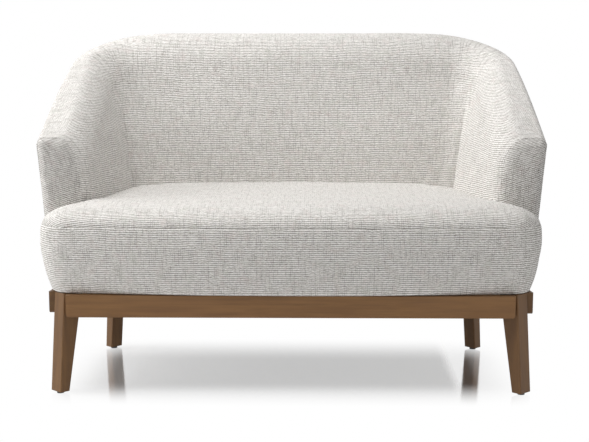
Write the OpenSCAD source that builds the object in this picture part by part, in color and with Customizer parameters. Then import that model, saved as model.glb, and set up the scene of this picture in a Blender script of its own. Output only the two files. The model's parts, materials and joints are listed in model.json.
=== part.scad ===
// High back settee: wrap-around upholstered shell, tight bow-fronted seat, show-wood base.
// Millimetres, Z up, the front faces -Y, the origin is on the floor under the middle.

/* [Overall] */
// Depth from the seat front to the back of the shell
overall_d = 770; // [750:1:800]
// Height of the top of the back
back_top_z = 909; // [880:1:940]
// Height of the top of an arm at its front
arm_top_z = 640; // [625:1:660]
// Distance from the seat front to the arm fronts
arm_setback = 183; // [170:1:200]

/* [Shell plan] */
// Half width inside the arms at seat level
arm_in_half = 538; // [520:1:550]
// Thickness of an arm at seat level
arm_t = 102; // [96:1:112]
// How far the outside of an arm leans out up to its top
arm_lean = 17; // [10:1:24]
// How far the straight inside back stops short of the inside of each arm
back_draw_in = 128; // [118:1:140]
// How far the straight outside back stops short of the outside of each arm
back_out_draw_in = 250; // [240:1:262]
// Thickness of the back at seat level
back_t = 104; // [98:1:115]
// Radius of the inside corner at seat level
corner_in_r = 70; // [60:1:80]
// Radius of the outside corner at seat level
corner_out_r = 205; // [190:1:215]
// Lean of the outside of the back, in degrees
back_rake = 10.8; // [9:0.2:12]
// How much more the inside of the back leans, in degrees
back_rake_extra = 3; // [2:0.2:4]

/* [Shell edge] */
// Width of the soft roll on the inside of the top edge
roll_w = 54; // [48:1:58]
// Height of the soft roll on the inside of the top edge
roll_h = 92; // [80:1:100]
// Radius of the outside of the top edge
edge_r = 17; // [12:1:20]
// Path length over which the top edge rises from arm to back
rise_len = 780; // [740:10:820]

/* [Seat] */
// How far the seat sides stand in from the outside of the arms
seat_side_inset = 8; // [4:1:12]
// Bow of the seat front
seat_bow = 31; // [24:1:38]
// Radius of the front corners of the seat
seat_corner_r = 82; // [70:1:90]
// Height of the border from the base rails to the seam of the top panel
border_h = 171; // [162:1:180]
// Height of the seat crown above the seam
crown_rise = 55; // [48:1:64]
// Height of the seat edge between the arms above the seam
tuck_rise = 27; // [20:1:32]
// Widest swell of the front border
border_swell = 3; // [1:0.5:4]

/* [Base] */
// Clear height under the base rails
clear_h = 200; // [186:1:210]
// Height of the base rails
rail_h = 56; // [52:1:62]
// Thickness of the base rails
rail_t = 18; // [16:1:20]
// How far the side rails stand in from the seat sides
base_side_inset = 17; // [13:1:22]
// How far the front rail stops short of the outside of each side rail
front_rail_short = 52; // [48:1:56]
// Distance from the seat front to the front rail
rail_setback = 33; // [28:1:38]
// Distance from the seat front to the front ends of the side rails
side_rail_setback = 86; // [82:1:90]
// How far the rear rail stands in from the back of the shell
rear_rail_inset = 12.4; // [8:0.2:18]
// How far the straight rear rail stops short of the straight outside back
rear_rail_short = 6; // [2:1:12]
// Radius of the rear corners of the base
base_corner_r = 190; // [184:1:196]
// Rounding of the rail ends and lower corners
rail_round = 8; // [5:1:8]

/* [Legs] */
// Thickness of a front leg
front_leg_t = 43; // [40:1:46]
// Width of a front leg at its top
front_leg_w = 55; // [50:1:60]
// Thickness of a rear leg
rear_leg_t = 38; // [35:1:40]
// Width of a rear leg at its top
rear_leg_w = 36; // [33:1:39]
// Width of a leg at its foot
leg_foot_w = 28; // [26:1:31]
// Rounding of the leg edges
leg_round = 3; // [2:0.5:5]
// Gap between the end of the front rail and the corner edge of a front leg
front_leg_gap = 6; // [4:1:9]
// Splay of the front legs forwards
front_splay = 22; // [10:1:26]
// Splay of the front legs sideways
side_splay = 11; // [7:1:14]
// Distance from the middle of a rear leg to the corner rail outside it
rear_leg_room = 30; // [29:1:36]
// Angle round the rear corner at which a rear leg stands, in degrees
rear_leg_angle = 30; // [26:1:34]
// Splay of the rear legs
rear_splay = 22; // [10:1:26]
// Diameter of a glide
glide_d = 18; // [16:1:22]
// Height of a glide
glide_h = 6; // [5:0.5:7]

/* [Frames] */
// Height of the seat frame boards
board_h = 44; // [38:1:48]
// Height of the shell bottom rail
shell_rail_h = 40; // [34:1:46]
// Thickness of the foam on the inside of the shell
shell_foam_t = 44; // [40:1:46]
// Thickness of the shell rails
shell_rail_t = 22; // [18:1:24]
// Thickness of the outer panel
panel_t = 3; // [2.5:0.5:4]
// Thickness of the front boards of the arms
arm_board_t = 18; // [16:1:20]

/* [Springs] */
// Number of seat springs
spring_count = 9; // [7:1:10]
// Wire diameter of the seat springs
spring_wire = 3.8; // [3.2:0.2:4.2]
// Width of a seat spring
spring_w = 52; // [44:1:56]
// Length of one bend of a seat spring
spring_pitch = 44; // [40:1:52]

/* [Covers] */
// Thickness of the upholstery fabric
cover_t = 2; // [1.5:0.1:2.2]
// Thickness of the arm front facings
facing_t = 3; // [2:0.5:4]
// Clearance between soft pieces
soft_gap = 0.3; // [0.3:0.1:0.5]

/* [Hidden] */

fabric = "#d3cec6";
walnut = "#74563f";
beech = "#d9b98c";
foam = "#efe6c8";
steel = "#9a9da1";
dark = "#2a2624";

// Widths, heights and depths that several pieces share
arm_out_half = arm_in_half + arm_t;
back_in_half = arm_in_half - back_draw_in;
back_out_half = arm_out_half - back_out_draw_in;
seat_half = arm_out_half - seat_side_inset;
base_half = seat_half - base_side_inset;
front_rail_half = base_half - front_rail_short;
rear_rail_half = back_out_half - rear_rail_short;
seat_front_y = -overall_d / 2 + border_swell;
arm_y = seat_front_y + arm_setback;
rail_top_z = clear_h + rail_h;
seam_z = rail_top_z + border_h;
crown_z = seam_z + crown_rise;
tuck_z = seam_z + tuck_rise;
frame_top_z = rail_top_z + board_h;
shell_rail_top_z = frame_top_z + shell_rail_h;
level_rise = 9;
level_z = seam_z + level_rise;
upper_rise = 370;
upper_z = level_z + upper_rise;
shell_back_y = overall_d / 2 - (back_top_z - edge_r - level_z) * tan(back_rake);
inside_back_y = shell_back_y - back_t;
spread_r_in = 14;
spread_in = 44;
spread_out = 38;
overrun = 1;
bolt_d = 8;
bolt_hole_d = 8.6;
washer_d = 20;
washer_t = 2;
head_h = 5;
head_d = 13;
screw_d = 5;
staple_w = 10;
staple_t = 1;

function mix(a, b, t) = a + (b - a) * t;
function tilt(z) = (z - level_z) / (upper_z - level_z);

// Stations run along the shell from the left arm front to the right one
arm_steps = 6;
corner_steps = 8;
back_steps = 5;
half_steps = arm_steps + corner_steps + back_steps;
stations = 2 * half_steps;
corner_last = arm_steps + corner_steps;

// Point k of half a U-shaped plan, from the arm front at 0 to the middle of the back
function half_plan(front_x, front_y, back_y, corner_x, corner_r, k) =
    let (centre = [corner_x, back_y - corner_r],
         reach = [front_x, front_y] - centre,
         start = atan2(reach.y, reach.x) + acos(corner_r / norm(reach)),
         tangent = centre + corner_r * [cos(start), sin(start)],
         turn = mix(start, 90, (k - arm_steps) / corner_steps))
    k < arm_steps ? mix([front_x, front_y], tangent, k / arm_steps)
    : k < corner_last ? centre + corner_r * [cos(turn), sin(turn)]
    : [corner_x * (half_steps - k) / back_steps, back_y];

// The same plan over the whole width
function whole_plan(front_x, front_y, back_y, corner_x, corner_r, i) =
    let (k = i <= half_steps ? i : stations - i,
         p = half_plan(front_x, front_y, back_y, corner_x, corner_r, k))
    [i < half_steps ? -p.x : p.x, p.y];

function inner_at(i, z) = whole_plan(
    arm_in_half + arm_lean * tilt(z), arm_y, inside_back_y + (z - level_z) * tan(back_rake + back_rake_extra),
    back_in_half + spread_in * tilt(z), corner_in_r + spread_r_in * tilt(z), i);
function outer_at(i, z) = whole_plan(
    arm_out_half + arm_lean * (z - level_z) / (arm_top_z - level_z), arm_y,
    shell_back_y + (z - level_z) * tan(back_rake),
    back_out_half + spread_out * tilt(z), corner_out_r, i);

// A point of the shell at station i, measured from the inside or the outside surface
function from_inside(i, off, z) =
    let (a = inner_at(i, z), b = outer_at(i, z), p = a + (b - a) / norm(b - a) * off)
    [p.x, p.y, z];
function from_outside(i, off, z) =
    let (a = inner_at(i, z), b = outer_at(i, z), p = b - (b - a) / norm(b - a) * off)
    [p.x, p.y, z];

// Length along the outside of the shell from the nearer arm front
function path_len(i) =
    let (k = i <= half_steps ? i : stations - i)
    k == 0 ? 0 : path_len(k - 1) + norm(outer_at(k, upper_z) - outer_at(k - 1, upper_z));
lengths = [for (i = [0:stations]) path_len(i)];
function top_z(i) = mix(arm_top_z, back_top_z, sin(90 * min(1, lengths[i] / rise_len)));

// Rows of the inside surface over the soft roll, at a depth below it
roll_steps = 4;
wall_rows = 3;
function inside_rows(i, depth, low_z) = concat(
    [for (k = [0:wall_rows - 1]) from_inside(i, depth, mix(low_z, top_z(i) - roll_h, k / wall_rows))],
    [for (k = [0:roll_steps]) let (a = 90 * k / roll_steps)
        from_inside(i, depth + (roll_w - depth) * (1 - cos(a)),
            top_z(i) - roll_h + (roll_h - depth) * sin(a))]);
edge_steps = 2;
function edge_rows(i, depth) = [for (k = [0:edge_steps]) let (a = 90 * k / edge_steps)
    from_outside(i, edge_r - (edge_r - depth) * sin(a), top_z(i) - edge_r + (edge_r - depth) * cos(a))];

// A closed solid between two matching grids of points
module between(a, b) {
    rows = len(a);
    cols = len(a[0]);
    count = rows * cols;
    function id(r, c) = r * cols + c;
    function quad(p, q, s, t) = [[p, q, s], [p, s, t]];
    points = concat([for (row = a) each row], [for (row = b) each row]);
    faces = concat(
        [for (r = [0:rows - 2], c = [0:cols - 2])
            each quad(id(r, c), id(r + 1, c), id(r + 1, c + 1), id(r, c + 1))],
        [for (r = [0:rows - 2], c = [0:cols - 2])
            each quad(count + id(r, c), count + id(r, c + 1), count + id(r + 1, c + 1),
                count + id(r + 1, c))],
        [for (r = [0:rows - 2]) each quad(id(r, 0), count + id(r, 0), count + id(r + 1, 0), id(r + 1, 0))],
        [for (r = [0:rows - 2]) let (c = cols - 1)
            each quad(id(r, c), id(r + 1, c), count + id(r + 1, c), count + id(r, c))],
        [for (c = [0:cols - 2]) each quad(id(0, c), id(0, c + 1), count + id(0, c + 1), count + id(0, c))],
        [for (c = [0:cols - 2]) let (r = rows - 1)
            each quad(id(r, c), count + id(r, c), count + id(r, c + 1), id(r, c + 1))]);
    polyhedron(points, faces, convexity = 6);
}

// A vertical-sided band of the shell between two offsets from its inside surface
module shell_band(first, last, near, far, plan_z, low_z, high_z) {
    outline = concat(
        [for (i = [first:last]) let (p = from_inside(i, near, plan_z)) [p.x, p.y]],
        [for (i = [last:-1:first]) let (p = from_inside(i, far, plan_z)) [p.x, p.y]]);
    translate([0, 0, low_z]) linear_extrude(high_z - low_z) polygon(outline);
}

module mirrored() {
    children();
    mirror([1, 0, 0]) children();
}

// Base rails
rail_y = seat_front_y + rail_setback;
side_rail_y = seat_front_y + side_rail_setback;
rear_rail_y = outer_at(half_steps, rail_top_z).y - rear_rail_inset;

module base_front_rail() {
    w = front_rail_half;
    color(walnut) difference() {
        translate([0, rail_y + rail_t, clear_h]) rotate([90, 0, 0]) linear_extrude(rail_t) union() {
            translate([-w, rail_round]) square([2 * w, rail_h - rail_round]);
            translate([rail_round - w, 0]) square([2 * (w - rail_round), rail_h]);
            for (side = [-1, 1])
                translate([side * (w - rail_round), rail_round]) circle(rail_round, $fn = 32);
        }
        screw_bores();
    }
}

function base_point(k, inset) = half_plan(base_half - inset, side_rail_y, rear_rail_y - inset,
    rear_rail_half, base_corner_r - inset, k);

module side_rail() {
    outline = concat(
        [for (k = [0:corner_last]) base_point(k, 0)],
        [for (k = [corner_last:-1:0]) base_point(k, rail_t)]);
    cut_w = rail_t + 2 * overrun;
    difference() {
        translate([0, 0, clear_h]) linear_extrude(rail_h) polygon(outline);
        // Rounds the lower front corner
        translate([base_half + overrun, side_rail_y + rail_round, clear_h + rail_round])
            rotate([0, -90, 0]) linear_extrude(cut_w) difference() {
                translate([-rail_round - overrun, -rail_round - overrun]) square(rail_round + overrun);
                circle(rail_round, $fn = 32);
            }
    }
}

module base_left_rail() color(walnut) mirror([1, 0, 0]) side_rail();
module base_right_rail() color(walnut) side_rail();
module base_rear_rail() color(walnut) difference() {
    translate([-rear_rail_half, rear_rail_y - rail_t, clear_h]) cube([2 * rear_rail_half, rail_t, rail_h]);
    screw_bores();
}

// Legs stand across the corners, and each one tapers from its top to its foot
module leg_section(w, t) {
    hull() for (x = [leg_round, w - leg_round], y = [leg_round, t - leg_round])
        translate([x, y]) circle(leg_round, $fn = 16);
}
slab = 0.5;
leg_turn = 45;
leg_gap = 0.5;
front_leg_x = front_rail_half + front_leg_gap;
front_leg_y = rail_y + rail_t + leg_gap;

// The front right leg, from its corner edge at the top to its foot
module front_leg() {
    hull() {
        translate([front_leg_x, front_leg_y, rail_top_z - slab]) rotate(leg_turn)
            linear_extrude(slab) leg_section(front_leg_t, front_leg_w);
        translate([front_leg_x + side_splay, front_leg_y - front_splay, glide_h]) rotate(leg_turn)
            linear_extrude(slab) leg_section(front_leg_t, leg_foot_w);
    }
}

rear_leg_reach = base_corner_r - rail_t - rear_leg_room;
rear_leg_x = rear_rail_half + rear_leg_reach * cos(rear_leg_angle);
rear_leg_y = rear_rail_y - base_corner_r + rear_leg_reach * sin(rear_leg_angle);
module rear_leg() {
    t = rear_leg_t;
    hull() {
        translate([rear_leg_x, rear_leg_y, rail_top_z - slab]) rotate(leg_turn)
            linear_extrude(slab) translate([-rear_leg_w / 2, -t / 2]) leg_section(rear_leg_w, t);
        translate([rear_foot.x, rear_foot.y, glide_h]) rotate(leg_turn) linear_extrude(slab)
            translate([-leg_foot_w / 2, -t / 2]) leg_section(leg_foot_w, t);
    }
}

module bored_front_leg() difference() {
    front_leg();
    at_front_bolts() bolt_bore(block_t + bolt_in_leg);
}
module bored_rear_leg() difference() {
    rear_leg();
    at_rear_bolts() bolt_bore(block_t + bolt_in_leg);
}
module front_left_leg() color(walnut) mirror([1, 0, 0]) bored_front_leg();
module front_right_leg() color(walnut) bored_front_leg();
module rear_left_leg() color(walnut) mirror([1, 0, 0]) bored_rear_leg();
module rear_right_leg() color(walnut) bored_rear_leg();

// Middles of the feet and the glides under them
front_foot = [front_leg_x + side_splay + (front_leg_t - leg_foot_w) / 2 * cos(leg_turn),
    front_leg_y - front_splay + (front_leg_t + leg_foot_w) / 2 * sin(leg_turn)];
rear_foot = [rear_leg_x + rear_splay * cos(leg_turn), rear_leg_y + rear_splay * sin(leg_turn)];
module glides() color(dark) mirrored() for (foot = [front_foot, rear_foot])
    translate([foot.x, foot.y, 0]) cylinder(h = glide_h, d = glide_d, $fn = 32);

// The space inside the base rails, as a flat outline
module inside_base() {
    right = [for (k = [0:corner_last]) base_point(k, rail_t)];
    lean = (right[0].x - right[1].x) / (right[1].y - right[0].y);
    front_y = rail_y + rail_t;
    first = [right[0].x + (right[0].y - front_y) * lean, front_y];
    polygon(concat([first], right,
        [for (k = [corner_last:-1:0]) [-right[k].x, right[k].y]], [[-first.x, front_y]]));
}

// Corner blocks behind the legs, with holes for the leg bolts
block_t = 26;
block_h = 48;
block_gap = 0.3;
block_reach = 150;
bolt_z = clear_h + rail_h / 2;
bolt_step = 20;
bolt_in_leg = 24;
front_block_v = front_leg_w + block_gap;
rear_block_u = rear_leg_w / 2 + block_gap;

// Places a bolt, drawn along +X from the inner face of a block, at each right leg
module at_front_bolts() {
    translate([front_leg_x, front_leg_y, 0]) rotate(leg_turn) for (side = [-1, 1])
        translate([front_leg_t / 2, front_block_v + block_t, bolt_z + side * bolt_step / 2])
        rotate(-90) children();
}
module at_rear_bolts() {
    translate([rear_leg_x, rear_leg_y, 0]) rotate(leg_turn) for (side = [-1, 1])
        translate([-rear_block_u - block_t, 0, bolt_z + side * bolt_step / 2]) children();
}
module bolt_bore(length) {
    translate([-overrun, 0, 0]) rotate([0, 90, 0]) cylinder(h = length + overrun, d = bolt_hole_d, $fn = 24);
}

module front_corner_block() {
    difference() {
        translate([0, 0, rail_top_z - block_h]) linear_extrude(block_h) intersection() {
            inside_base();
            translate([front_leg_x, front_leg_y]) rotate(leg_turn)
                translate([-block_reach, front_block_v]) square([2 * block_reach, block_t]);
        }
        at_front_bolts() bolt_bore(block_t + overrun);
    }
}
module rear_corner_block() {
    difference() {
        translate([0, 0, rail_top_z - block_h]) linear_extrude(block_h) intersection() {
            inside_base();
            translate([rear_leg_x, rear_leg_y]) rotate(leg_turn)
                translate([-rear_block_u - block_t, -block_reach]) square([block_t, 2 * block_reach]);
        }
        at_rear_bolts() bolt_bore(block_t + overrun);
    }
}
module front_corner_blocks() color(beech) mirrored() front_corner_block();
module rear_corner_blocks() color(beech) mirrored() rear_corner_block();

module leg_bolt() {
    rotate([0, 90, 0]) union() {
        translate([0, 0, -washer_t]) cylinder(h = washer_t + block_t + bolt_in_leg, d = bolt_d, $fn = 24);
        translate([0, 0, -washer_t - head_h]) cylinder(h = head_h, d = head_d, $fn = 6);
    }
}
module leg_washer() {
    rotate([0, 90, 0]) translate([0, 0, -washer_t]) difference() {
        cylinder(h = washer_t, d = washer_d, $fn = 32);
        translate([0, 0, -overrun]) cylinder(h = washer_t + 2 * overrun, d = bolt_hole_d, $fn = 24);
    }
}
module leg_bolts() color(steel) mirrored() {
    at_front_bolts() leg_bolt();
    at_rear_bolts() leg_bolt();
}
module leg_bolt_washers() color(steel) mirrored() {
    at_front_bolts() leg_washer();
    at_rear_bolts() leg_washer();
}

// Seat frame boards, on top of the base and under the shell
frame_inset = 6;
board_w = 64;
board_lap = 4;
frame_front_y = rail_y + board_lap;
frame_rear_y = outer_at(half_steps, rail_top_z).y - frame_inset;
frame_half = outer_at(stations, rail_top_z).x - frame_inset;
gusset_w = 88;
frame_draw_in = 32;
brace_w = 60;
screw_len = 60;

// Outline of the seat frame: the shell plan closed off at the front
module frame_outline(inset) {
    right = [for (i = [half_steps:stations])
        let (p = from_outside(i, frame_inset + inset, rail_top_z)) [p.x, p.y]];
    front = frame_front_y + inset;
    last = right[len(right) - 1];
    polygon(concat([for (k = [len(right) - 1:-1:0]) [-right[k].x, right[k].y]], right,
        [[last.x, front], [-last.x, front]]));
}

// The room for the frame inside the drawn-in bottom of the front border
module frame_room() {
    d = frame_draw_in;
    right = [for (r = [1:corner_rows]) front_edge(d, r)];
    polygon(concat([for (u = columns) seat_point(u, 0, d)], right,
        [[seat_half - d, arm_line_y], [wide, arm_line_y], [wide, overall_d],
         [-wide, overall_d], [-wide, arm_line_y], [d - seat_half, arm_line_y]],
        [for (r = [corner_rows:-1:1]) let (p = front_edge(d, r)) [-p.x, p.y]]));
}
module frame_part(low_x, high_x, low_y, high_y) {
    translate([0, 0, rail_top_z]) linear_extrude(board_h) intersection() {
        frame_room();
        difference() {
            frame_outline(0);
            frame_outline(board_w);
        }
        translate([low_x, low_y]) square([high_x - low_x, high_y - low_y]);
    }
}

// Screws down through the boards into the front and rear rails
module at_screws() mirrored()
    for (x = [rear_rail_half / 4, rear_rail_half * 3 / 4],
         y = [rail_y + rail_t / 2, rear_rail_y - rail_t / 2])
        translate([x, y, frame_top_z - screw_len]) children();
module screw_bores() at_screws() cylinder(h = screw_len + overrun, d = screw_d, $fn = 16);

// Bolts down through the shell bottom rail into the boards
webbing_room = 2.5;
frame_off = shell_foam_t + webbing_room;
bolt_stations = [3, half_steps - 4, half_steps + 4, stations - 3];
shell_bolt_len = 74;
bolt_end_gap = 1;
module at_shell_bolts() for (i = bolt_stations)
    let (p = from_inside(i, frame_off + shell_rail_t / 2, frame_top_z))
    translate([p.x, p.y, shell_rail_top_z]) children();
module shell_bores() at_shell_bolts() translate([0, 0, -shell_bolt_len])
    cylinder(h = shell_bolt_len + overrun, d = bolt_hole_d, $fn = 24);
wide = base_half + board_w;
side_x = frame_half - board_w;
module seat_front_board() color(beech) difference() {
    frame_part(-wide, wide, frame_front_y - overrun, frame_front_y + board_w);
    screw_bores();
}
module seat_rear_board() color(beech) difference() {
    frame_part(-rear_rail_half, rear_rail_half, frame_rear_y - board_w - overrun, frame_rear_y + overrun);
    screw_bores();
    shell_bores();
}
module seat_side_board() difference() {
    frame_part(rear_rail_half, wide, frame_front_y + board_w, frame_rear_y + overrun);
    shell_bores();
}
module seat_right_board() color(beech) seat_side_board();
module seat_left_board() color(beech) mirror([1, 0, 0]) seat_side_board();
module seat_centre_brace() color(beech)
    translate([-brace_w / 2, frame_front_y + board_w, rail_top_z])
    cube([brace_w, frame_rear_y - board_w - frame_front_y - board_w, board_h / 2]);
module seat_gussets() color(beech) translate([0, 0, rail_top_z]) mirrored() {
    linear_extrude(board_h / 2) intersection() {
        frame_outline(board_w);
        translate([side_x, frame_front_y + board_w]) rotate(leg_turn) square(gusset_w, center = true);
    }
}
module base_screws() color(steel) at_screws() cylinder(h = screw_len, d = screw_d, $fn = 16);

// Sinuous seat springs, held by clips on the front and rear boards
spring_lap = 3;
spring_y0 = frame_front_y + board_w - spring_lap;
spring_y1 = frame_rear_y - board_w + spring_lap;
spring_reach = back_in_half - spring_w / 5;
clip_t = 2;
clip_w = 16;
clip_lap = 8;
clip_l = 14;
clip_wall = 3;
tie_d = 3;
bends = 2 * floor((spring_y1 - spring_y0) / spring_pitch / 2) + 1;
bend = (spring_y1 - spring_y0) / bends;
function spring_x(k) = mix(-spring_reach, spring_reach, k / (spring_count - 1));
function spring_side(j) = j % 2 == 0 ? 1 : -1;
bend_share = 0.36;
function spring_path() = concat([[0, 0]],
    [for (j = [0:bends - 1]) let (s = spring_side(j), y = j * bend)
        each [[s * spring_w * bend_share, y], [s * spring_w / 2, y + bend / 2],
              [s * spring_w * bend_share, y + bend]]],
    [[0, bends * bend]]);
module wire_line(points, w) {
    for (j = [0:len(points) - 2]) let (a = points[j], b = points[j + 1], d = b - a)
        translate(a) rotate(atan2(d.y, d.x)) translate([-w / 2, -w / 2]) square([norm(d) + w, w]);
}
module seat_springs() color(steel) for (k = [0:spring_count - 1])
    translate([spring_x(k), spring_y0, frame_top_z]) linear_extrude(spring_wire)
    wire_line(spring_path(), spring_wire);
module spring_clip() difference() {
    cube([clip_w, clip_l, spring_wire + clip_t]);
    translate([-overrun, clip_wall, -overrun])
        cube([clip_w + 2 * overrun, clip_l - 2 * clip_wall, spring_wire + overrun + soft_gap]);
}
module spring_clips() color(dark)
    for (k = [0:spring_count - 1], y = [spring_y0 - clip_lap, spring_y1 + clip_lap - clip_l])
        translate([spring_x(k) - clip_w / 2, y, frame_top_z]) spring_clip();
tie_reach = spring_reach + spring_w / 2;
module spring_tie_wires() color(steel) for (share = [1 / 3, 2 / 3])
    translate([-tie_reach, mix(spring_y0, spring_y1, share), frame_top_z + spring_wire + tie_d / 2])
    rotate([0, 90, 0]) cylinder(h = 2 * tie_reach, d = tie_d, $fn = 16);

// Seat plan: rows from the front edge back, each with a half width and its own bow
pad_t = 6;
pad_z = frame_top_z + spring_wire + tie_d;
foam_z = pad_z + pad_t;
corner_rows = 4;
tuck_gap = 1.5;
arm_line_y = arm_y - facing_t - 2 * soft_gap;
bow_angle = atan(2 * seat_bow / (seat_half - seat_corner_r));

// Edge points of the right half of the seat, from the front corner to the back corner
function front_edge(d, r) =
    let (edge_x = seat_half - seat_corner_r * (1 - sin(bow_angle)),
         edge = [edge_x, seat_front_y + seat_bow],
         centre = edge + seat_corner_r * [-sin(bow_angle), cos(bow_angle)],
         a = mix(bow_angle - 90, 0, r / corner_rows))
    centre + (seat_corner_r - d) * [cos(a), sin(a)];
function tuck_edge(k) = let (p = half_plan(arm_in_half, arm_y, inside_back_y, back_in_half, corner_in_r, k))
    [p.x - tuck_gap, k == 0 ? arm_line_y : p.y - tuck_gap];
function seat_edge(d) = concat(
    [for (r = [0:corner_rows]) front_edge(d, r)],
    [[seat_half - d, mix(front_edge(d, corner_rows).y, arm_line_y, 0.5)]],
    [[seat_half - d, arm_line_y - d]],
    [for (k = [0:2:arm_steps]) tuck_edge(k) - [0, k == 0 ? d : 0]],
    [for (k = [arm_steps + 1:corner_last]) tuck_edge(k)]);
ear_row = corner_rows + 2;
seat_rows = len(seat_edge(0));

// Columns across the seat, closer together towards its sides
column_shares = [0, 0.22, 0.42, 0.6, 0.74, 0.85, 0.93, 0.975, 1];
columns = [for (k = [len(column_shares) - 1:-1:1]) -column_shares[k], each column_shares];
row_spread = 14;
function row_bow(d, r) =
    let (edge = seat_edge(d), y = edge[r].y, left = (inside_back_y - y) / (inside_back_y - seat_front_y))
    r == ear_row ? row_spread + seat_bow * left / 2 : r == ear_row + 1 ? -row_spread
    : r > ear_row ? 0 : seat_bow * left;

// Height of the seat top, from its edge up to its crown
edge_power = 8;
front_power = 16;
function row_middle_y(r) = seat_edge(0)[r].y - row_bow(0, r);
function seat_z(u, r) =
    let (first_y = row_middle_y(0), v = (row_middle_y(r) - first_y) / (inside_back_y - first_y),
         edge_z = r > ear_row ? tuck_z : seam_z,
         rise = (1 - pow(abs(u), edge_power)) * (1 - pow(1 - min(1, max(0, v)), front_power)))
    mix(edge_z, crown_z, rise);
function seat_point(u, r, d) =
    let (edge = seat_edge(d)[r], y = edge.y - row_bow(d, r) * (1 - u * u)) [u * edge.x, y];
function seat_grid(d, depth) = [for (r = [0:seat_rows - 1]) [for (u = columns)
    let (p = seat_point(u, r, d)) [p.x, p.y, seat_z(u, r) - depth]]];
function flat_grid(d, z) = [for (r = [0:seat_rows - 1]) [for (u = columns)
    let (p = seat_point(u, r, d)) [p.x, p.y, z]]];

module seat_top_cover() color(fabric) between(seat_grid(0, 0), seat_grid(0, cover_t));
foam_inset = 14;
foam_drop = cover_t + 5 * soft_gap;
pad_inset = 20;
pad_half = tie_reach + pad_inset;
module seat_foam() color(foam)
    between(seat_grid(cover_t + soft_gap, foam_drop), flat_grid(foam_inset, foam_z));
module spring_pad() color("#8d8a85") translate([0, 0, pad_z]) linear_extrude(pad_t)
    translate([-pad_half, spring_y0 + pad_inset])
    square([2 * pad_half, spring_y1 - spring_y0 - 2 * pad_inset]);

// Front border, from one arm around the front to the other
border_levels = [0, 0.2, 0.45, 0.68, 0.85, 0.95, 1];
border_out_shares = [0, 1, 0.3, -2, -4.6, -7, -9];
border_lift = 3;
border_low_z = rail_top_z + border_lift;
function border_edge(d) = let (right = [for (r = [0:ear_row]) seat_edge(d)[r]])
    concat([for (k = [ear_row:-1:1]) [-right[k].x, right[k].y + (k == ear_row ? d : 0)]],
        [for (u = columns) let (p = seat_point(u, 0, d)) [p.x, p.y]],
        [for (k = [1:ear_row]) [right[k].x, right[k].y + (k == ear_row ? d : 0)]]);
function border_grid(d, low) = let (rows = [for (k = [0:len(border_levels) - 1])
        border_edge(d - border_swell * border_out_shares[k])])
    [for (j = [0:len(rows[0]) - 1]) [for (k = [0:len(border_levels) - 1])
        [rows[k][j].x, rows[k][j].y, mix(seam_z - cover_t - soft_gap, low, border_levels[k])]]];
module seat_border_cover() color(fabric)
    between(border_grid(0, border_low_z), border_grid(cover_t, border_low_z));
module seat_front_pad() color(foam) {
    z0 = rail_top_z + pad_t;
    edge = border_edge(-border_swell * border_out_shares[len(border_out_shares) - 1] + 2 * cover_t);
    translate([0, 0, z0]) linear_extrude(frame_top_z - z0) difference() {
        polygon(edge);
        translate([-wide - board_w, frame_front_y - soft_gap]) square([2 * (wide + board_w), overall_d]);
    }
}

// Dust cover under the seat frame, with its staples
dust_inset = 4;
dust_t = 1;
staple_step = 110;
module dust_cover() color(dark) translate([0, 0, rail_top_z - dust_t]) linear_extrude(dust_t)
    difference() {
        inside_base();
        for (side = [0, 1]) mirror([side, 0]) {
            translate([front_leg_x, front_leg_y]) rotate(leg_turn)
                translate([-block_reach, -block_reach])
                square([2 * block_reach, block_reach + front_block_v + block_t + dust_inset]);
            translate([rear_leg_x, rear_leg_y]) rotate(leg_turn)
                translate([-rear_block_u - block_t - dust_inset, -block_reach])
                square([2 * block_reach, 2 * block_reach]);
        }
    }
module dust_cover_staples() color(steel) mirrored()
    for (x = [staple_step / 2:staple_step:rear_rail_half],
         y = [rail_y + rail_t + 2 * staple_w, rear_rail_y - rail_t - 2 * staple_w])
        translate([x, y, rail_top_z - dust_t - staple_t]) cube([staple_w, staple_t, staple_t]);

// Shell frame: a rail on the seat frame, posts on it and a sloping top rail
top_rail_h = 34;
cap_h = 58;
cover_drop = 4;
low_z = level_z - cover_drop;
rail_gap = 0.3;
function rail_rows(i, off) = [from_inside(i, off, top_z(i) - cap_h - rail_gap - top_rail_h),
    from_inside(i, off, top_z(i) - cap_h - rail_gap)];
module top_rail(first, last) between(
    [for (i = [first:last]) rail_rows(i, frame_off)],
    [for (i = [first:last]) rail_rows(i, frame_off + shell_rail_t)]);
function post_rows(i, off) = [from_inside(i, off, shell_rail_top_z),
    from_inside(i, off, top_z(i) - cap_h - 2 * rail_gap - top_rail_h)];
module post(i) between(
    [for (k = [i, i + 1]) post_rows(k, frame_off)],
    [for (k = [i, i + 1]) post_rows(k, frame_off + shell_rail_t)]);
arm_last = arm_steps + corner_steps / 2;
back_first = arm_last;
back_last = stations - arm_last;
module shell_bottom_rail() color(beech) difference() {
    shell_band(0, stations, frame_off, frame_off + shell_rail_t, frame_top_z, frame_top_z, shell_rail_top_z);
    shell_bores();
}
module back_top_rail() color(beech) top_rail(back_first, back_last);
module left_arm_top_rail() color(beech) top_rail(0, arm_last);
module right_arm_top_rail() color(beech) top_rail(stations - arm_last, stations);
module corner_posts() color(beech) for (i = [arm_last - 1, stations - arm_last]) post(i);
module back_posts() color(beech) for (i = [half_steps - 3, half_steps + 2]) post(i);

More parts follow.
